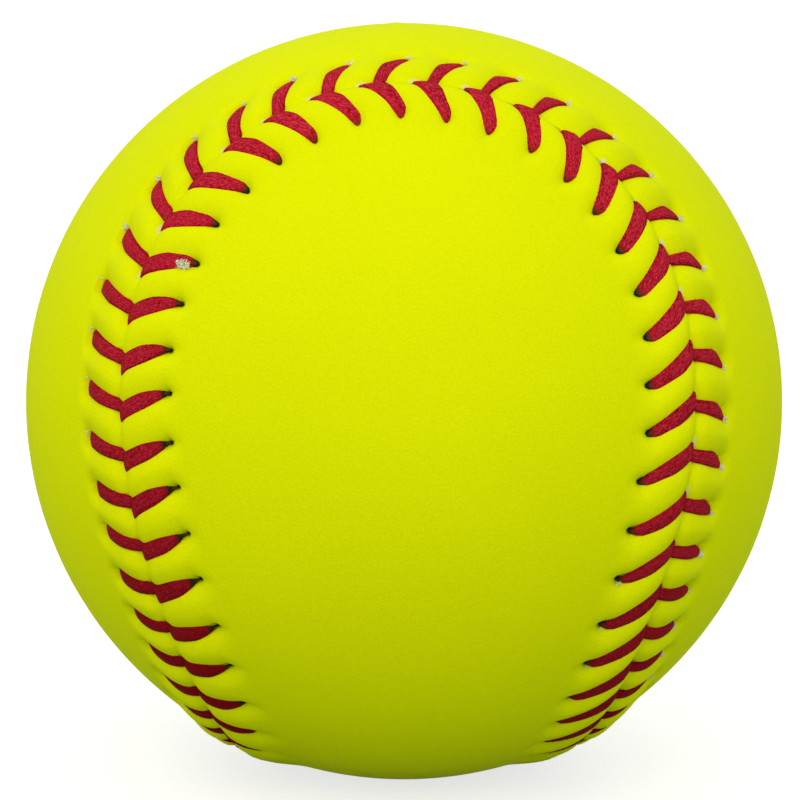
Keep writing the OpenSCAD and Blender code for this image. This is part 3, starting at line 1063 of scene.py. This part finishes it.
def seam_thread():
    """Waxed thread: slanting fibres, pale nap, painted shade on its sides, low legs and ends."""
    material, bench = new_finish("seam_thread")
    run = attribute(bench, "run")
    side_on = attribute(bench, "aside")
    stitch = attribute(bench, "stitch")
    front = attribute(bench, "front")
    nap = attribute(bench, "fluff")
    across = side_on * LEG_HALF_WIDE
    down = run * LEG_LONG
    lay = bench.xyz(down * FIBRE_LAY["x down"] + across * FIBRE_LAY["x across"],
                    across * FIBRE_LAY["y across"] - down * FIBRE_LAY["y down"],
                    stitch * FIBRE_LAY["stitch"])
    fibre = bench.noise(lay, FIBRES_PER_MM, roughness=0.7)
    speck = bench.noise(object_place(bench), SPECKS_PER_M, detail=1.0, roughness=0.6)
    long_lay = bench.xyz(down * GROOVE_LAY["down"], across * GROOVE_LAY["across"],
                         stitch * GROOVE_LAY["stitch"])
    groove = bench.noise(long_lay, GROOVES_PER_MM, detail=1.0)
    # Painted shade: each leg's sides, where it curves down into its crease, are painted deeper and
    # less pale.
    edge = (side_on.math("ABSOLUTE") ** SIDE_SHADE_CURVE).within()

    pale = (fibre - MIDDLE_FIBRE) * PALE_BY["fibre"] + (speck - 0.5) * PALE_BY["speck"]
    pale = (pale - edge * PALE_BY["edge"]).within()
    colour = bench.blend(pale, CRIMSON, CRIMSON_PALE)
    deep = (MIDDLE_FIBRE - fibre) * DEEP_BY["fibre"] + (MIDDLE_GROOVE - groove) * DEEP_BY["groove"]
    deep = (deep + (0.5 - speck) * DEEP_BY["speck"] + edge * DEEP_BY["edge"]).within()
    colour = bench.blend(deep, colour, CRIMSON_DEEP_AND_SHADE)
    colour = bench.blend((nap * PALE_BY["nap"]).within(), colour, CRIMSON_PALE)
    # Painted shade: the thread is palest at the top stitch and the one opposite it, and painted
    # darkest half way between, low on the ball where the legs lie in shade.
    shade_wave = ((stitch - BEST_LIT_STITCH) * (2 * pi * SHADE_WAVES / STITCHES)).math("COSINE")
    painted_shade = (SHADE_STRENGTH * (0.5 - 0.5 * shade_wave) ** SHADE_CURVE).within(0.0, DEEPEST_SHADE)
    colour = bench.blend(painted_shade, colour, CRIMSON_DEEP_AND_SHADE)

    # Painted shadow: a front leg's end in its hole is painted dark brown, as the shade inside the
    # hole, but not near the top stitches, whose holes face the light.
    shadowed = (((stitch - LIT_END_STITCH) / LIT_END_SPREAD) ** 2).within()
    end = (END_SHADOW["length"] + swell(stitch, SHADOW_TAILS) - run) * END_SHADOW["crisp"]
    end = end + (speck - 0.5) * END_SHADOW["speck"] + (fibre - 0.5)
    end = end.within() * front * shadowed
    colour = bench.blend(end, colour, THREAD_END_SHADOW)
    # A painted highlight: a paler spot inside the painted shadow at the leg's end.
    highlight_along = (run - END_HIGHLIGHT["place"]) * END_HIGHLIGHT["short"]
    highlight_across = side_on * END_HIGHLIGHT["narrow"]
    spot = (1 - highlight_along ** 2 - highlight_across ** 2).within() * end
    colour = bench.blend(spot * END_HIGHLIGHT["strength"], colour, THREAD_END_HIGHLIGHT)
    height = RELIEF["fibre"] * fibre + RELIEF["speck"] * speck + RELIEF["groove"] * groove
    set_surface(bench, colour, THREAD_ROUGHNESS, fibre, height, RELIEF["depth"],
                Specular_IOR_Level=THREAD_GLOSS)
    return material


thread = seam_thread()
seam_line = seam_curve()
lacing = lacing_tree(thread)
for number in (1, 2):
    values = {"Seam line": seam_line, "First leg": float(number)}
    blank_mesh = bpy.data.meshes.new("blank")
    strand = made_by(lacing, f"seam_thread_{number}_strand", blank_mesh, values)
    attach(strand, "root")
    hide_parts(f"seam_thread_{number}")


# The frayed holes.
# The needle tears a few pale fibres out of the raw leather where the thread comes up. They
# stand at the hind corner of the side panel's holes and at three holes low on the front
# panel, and one hole higher on the front panel has a whole tuft.

FRAY_SIZES = {
    **SEAM_SIZES,
    "Seam line": None,
    "Front panel": 0.0,
    "First stitch": 0,
    "Holes": STITCHES,
    "Fibres a hole": 28,
    "Behind hole": 0.85 * MM,
    "Spread along": 0.28 * MM,
    "Beyond hole": 0.10 * MM,
    "Spread beyond": 0.20 * MM,
    "Above cover": 0.35 * MM,
    "Outward": 1.0,
    "Fibre length": 0.60 * MM,
    "Fibre thickness": 0.09 * MM,
}
FRONT_FRAY = {
    "Front panel": 1.0,
    "First stitch": 19,
    "Holes": 3,
    "Fibres a hole": 16,
    "Behind hole": 0.35 * MM,
    "Spread along": 0.16 * MM,
    "Beyond hole": 0.25 * MM,
    "Spread beyond": 0.35 * MM,
    "Above cover": 0.30 * MM,
    "Outward": 0.3,
    "Fibre length": 0.35 * MM,
    "Fibre thickness": 0.08 * MM,
}
TUFT = {
    "Front panel": 1.0,
    "First stitch": 40,
    "Holes": 1,
    "Fibres a hole": 90,
    "Behind hole": -0.80 * MM,
    "Spread along": 0.42 * MM,
    "Beyond hole": -0.80 * MM,
    "Spread beyond": 0.85 * MM,
    "Above cover": 0.85 * MM,
    "Outward": 0.3,
    "Fibre length": 0.55 * MM,
    "Fibre thickness": 0.15 * MM,
}
FRAY_LIFT = 0.2
FRAY_TANGLE = 0.8
FRAY_CURL = 0.7
HOLE_FILL = (0.3, 1.15)
ASIDE_DRAW = 21
BEYOND_DRAW = 22
FRAY_WAY_DRAW = 23
FILL_DRAW = 24
KEPT_DRAW = 25
FRAY_DRAW = 26
FRAYED_PALE = (0.97, 0.96, 0.93)
FRAYED_YELLOW = (0.74, 0.74, 0.36)
YELLOW_PATCHES_PER_M = 900.0
YELLOW_BY = {"patch": 2.4, "less": 0.9}
FUZZ_PER_M = 9000.0
FUZZ_DEPTH = 0.02 * MM
FUZZ_ROUGHNESS = (0.8, 0.15)
FUZZ_GLOSS = 0.05


def fray_tree(material):
    """Short bent fibres round needle holes, as many and as long as chance gives each hole."""
    bench, given = new_tree("fray", FRAY_SIZES)
    front = given["Front panel"]
    count = given["Holes"] * given["Fibres a hole"]
    line = bench.add("GeometryNodeMeshLine", {}, {"Count": count})
    index = bench.add("GeometryNodeInputIndex")
    stitch = ((index + 0.5) / given["Fibres a hole"]).math("FLOOR") + given["First stitch"]
    aside = chance(given, index, -1.0, 1.0, ASIDE_DRAW)
    beyond = chance(given, index, -1.0, 1.0, BEYOND_DRAW) * (1 - aside * aside).math("SQRT")
    way = leg_way(given, stitch, front, 1.0) - given["Behind hole"] + given["Spread along"] * aside
    hole = hole_inset(given, stitch, front)
    inset = hole + given["Beyond hole"] + given["Spread beyond"] * beyond
    side = front * 2 - 1
    height = welt_height(given, inset) - crease_depth(given, inset, hole, front)
    height = height + given["Above cover"]
    place, up, along = on_ball(given, seam_from(given), way, side * inset, height)
    outward = bench.vector("CROSS_PRODUCT", up, along)
    lean = bench.vector("ADD", bench.stretch(outward, side * given["Outward"]),
                        bench.stretch(up, FRAY_LIFT))
    tangle = bench.stretch(any_way(given, index, FRAY_WAY_DRAW), FRAY_TANGLE)
    lean = bench.vector("ADD", lean, tangle)
    points = bench.add("GeometryNodeSetPosition", {}, {"Geometry": line, "Position": place})
    clean = (1 - front) * swell(stitch, CLEAN_LEFT)
    full = uneven(given, stitch, *HOLE_FILL, FILL_DRAW) * (1 - clean)
    kept = chance(given, index, 0.0, 1.0, KEPT_DRAW) < full
    fibre = hair(given, given["Fibre length"], given["Fibre thickness"], FRAY_CURL)
    return close_tree(bench, strewn(given, points, fibre, lean, FRAY_DRAW, kept), material)


def frayed_leather():
    """Undyed leather fibre, nearly white, with a little of the cover's yellow."""
    material, bench = new_finish("frayed_leather")
    place = object_place(bench)
    patch = bench.noise(place, YELLOW_PATCHES_PER_M)
    yellow = (patch * YELLOW_BY["patch"] - YELLOW_BY["less"]).within()
    colour = bench.blend(yellow, FRAYED_PALE, FRAYED_YELLOW)
    fuzz = bench.noise(place, FUZZ_PER_M)
    set_surface(bench, colour, FUZZ_ROUGHNESS, fuzz, fuzz, FUZZ_DEPTH,
                Specular_IOR_Level=FUZZ_GLOSS)
    return material


fray = fray_tree(frayed_leather())
frays = {"side_hole_fray": {}, "front_hole_fray": FRONT_FRAY, "front_hole_tuft": TUFT}
for name, values in frays.items():
    values = {**values, "Seam line": seam_line}
    fibres = made_by(fray, name, bpy.data.meshes.new("blank"), values)
    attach(fibres, "root")
bpy.data.objects.remove(seam_line)


# The room.
# The ball rests on a plain pale floor, under one broad soft lamp high in front and a little to
# the left. The far white is the room's own colour, seen by the camera only.

CAMERA_BACK = 690.6 * MM
CAMERA_TURN = (-0.2120, -0.0069, -0.0143)
CAMERA_LENS = 263.8
CAMERA_FILM = 36.0
CAMERA_NEAR = 10 * MM
CAMERA_FAR = 20.0
BALL_PIXEL = (404.1, 401.1)
PICTURE_PIXELS = 800
WHITE = (1, 1, 1)
FLOOR_HALF = 1.5
FLOOR_PALE = (0.45, 0.45, 0.45)
FLOOR_DULL = (0.36, 0.42, 0.36)
FLOOR_GLOW = 0.72
LAMP_BACK = 1.3
LAMP_SIZE = 1.0
LAMP_POWER = 5.6
LAMP_TURN = (radians(-14), radians(34))
LAMP_TINT = (1.0, 0.80, 0.68)
ROOM_LIGHT = 0.88
ROOM_TINT = (0.96, 1, 0.98)


def picture_camera():
    """The camera where the picture was taken from, with the ball at its place in the frame."""
    turn = Vector(CAMERA_TURN)
    placed = Matrix.Rotation(turn.length, 4, turn.normalized())
    placed = placed @ Matrix.Translation((0, -CAMERA_BACK, 0))
    camera = new_object("camera", bpy.data.cameras.new("camera"))
    camera.matrix_world = placed @ Matrix.Rotation(pi / 2, 4, "X")
    camera.data.lens = CAMERA_LENS
    camera.data.sensor_width = CAMERA_FILM
    camera.data.shift_x = (PICTURE_PIXELS / 2 - BALL_PIXEL[0]) / PICTURE_PIXELS
    camera.data.shift_y = (BALL_PIXEL[1] - PICTURE_PIXELS / 2) / PICTURE_PIXELS
    camera.data.clip_start = CAMERA_NEAR
    camera.data.clip_end = CAMERA_FAR
    bpy.context.scene.camera = camera


def as_seen(bench, in_light, in_view):
    """One shader for light on things, another for what is seen, also in a mirror or glass."""
    ray = bench.add("ShaderNodeLightPath", {}, {}, "Is Camera Ray")
    seen = (ray + ray["Is Glossy Ray"] + ray["Is Transmission Ray"]).within()
    return bench.add("ShaderNodeMixShader", {}, {0: seen, 1: in_light, 2: in_view})


def pale_floor(lowest):
    """A flat floor under the ball, that looks white and keeps its shadow."""
    material, bench = new_finish("pale_floor")
    dull = bench.add("ShaderNodeBsdfDiffuse", {}, {"Color": rgba(FLOOR_DULL)})
    pale = bench.add("ShaderNodeBsdfDiffuse", {}, {"Color": rgba(FLOOR_PALE)})
    glow = bench.add("ShaderNodeEmission", {}, {"Color": rgba(WHITE), "Strength": FLOOR_GLOW})
    bright = bench.add("ShaderNodeAddShader", {}, {0: pale, 1: glow})
    both = as_seen(bench, dull, bright)
    bench.add("ShaderNodeOutputMaterial", {}, {"Surface": both})
    h = FLOOR_HALF
    corners = [(-h, -h, lowest), (h, -h, lowest), (h, h, lowest), (-h, h, lowest)]
    mesh = bpy.data.meshes.new("floor")
    mesh.from_pydata(corners, [], [(0, 1, 2, 3)])
    mesh.materials.append(material)
    new_object("floor", mesh)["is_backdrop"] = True


def room_light():
    """Even light from all round, whose own colour is white where the camera sees it."""
    world = bpy.data.worlds.new("room")
    world.use_nodes = True
    bpy.context.scene.world = world
    bench = Bench(world.node_tree)
    soft = {"Color": rgba(ROOM_TINT), "Strength": ROOM_LIGHT}
    soft = bench.add("ShaderNodeBackground", {}, soft)
    white = bench.add("ShaderNodeBackground", {}, {"Color": rgba(WHITE), "Strength": 1.0})
    bench.add("ShaderNodeOutputWorld", {}, {"Surface": as_seen(bench, soft, white)})


def soft_lamp():
    """A broad square lamp that faces the ball."""
    azimuth, elevation = LAMP_TURN
    way = Vector((sin(azimuth) * cos(elevation), -cos(azimuth) * cos(elevation), sin(elevation)))
    lamp = new_object("soft_lamp", bpy.data.lights.new("soft_lamp", "AREA"))
    lamp.location = way * LAMP_BACK
    lamp.rotation_euler = way.to_track_quat("Z", "Y").to_euler()
    lamp.data.size = LAMP_SIZE
    lamp.data.energy = LAMP_POWER
    lamp.data.color = LAMP_TINT


picture_camera()
room_light()
soft_lamp()
pale_floor(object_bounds()[0].z)
bpy.context.scene.view_settings.view_transform = "Standard"
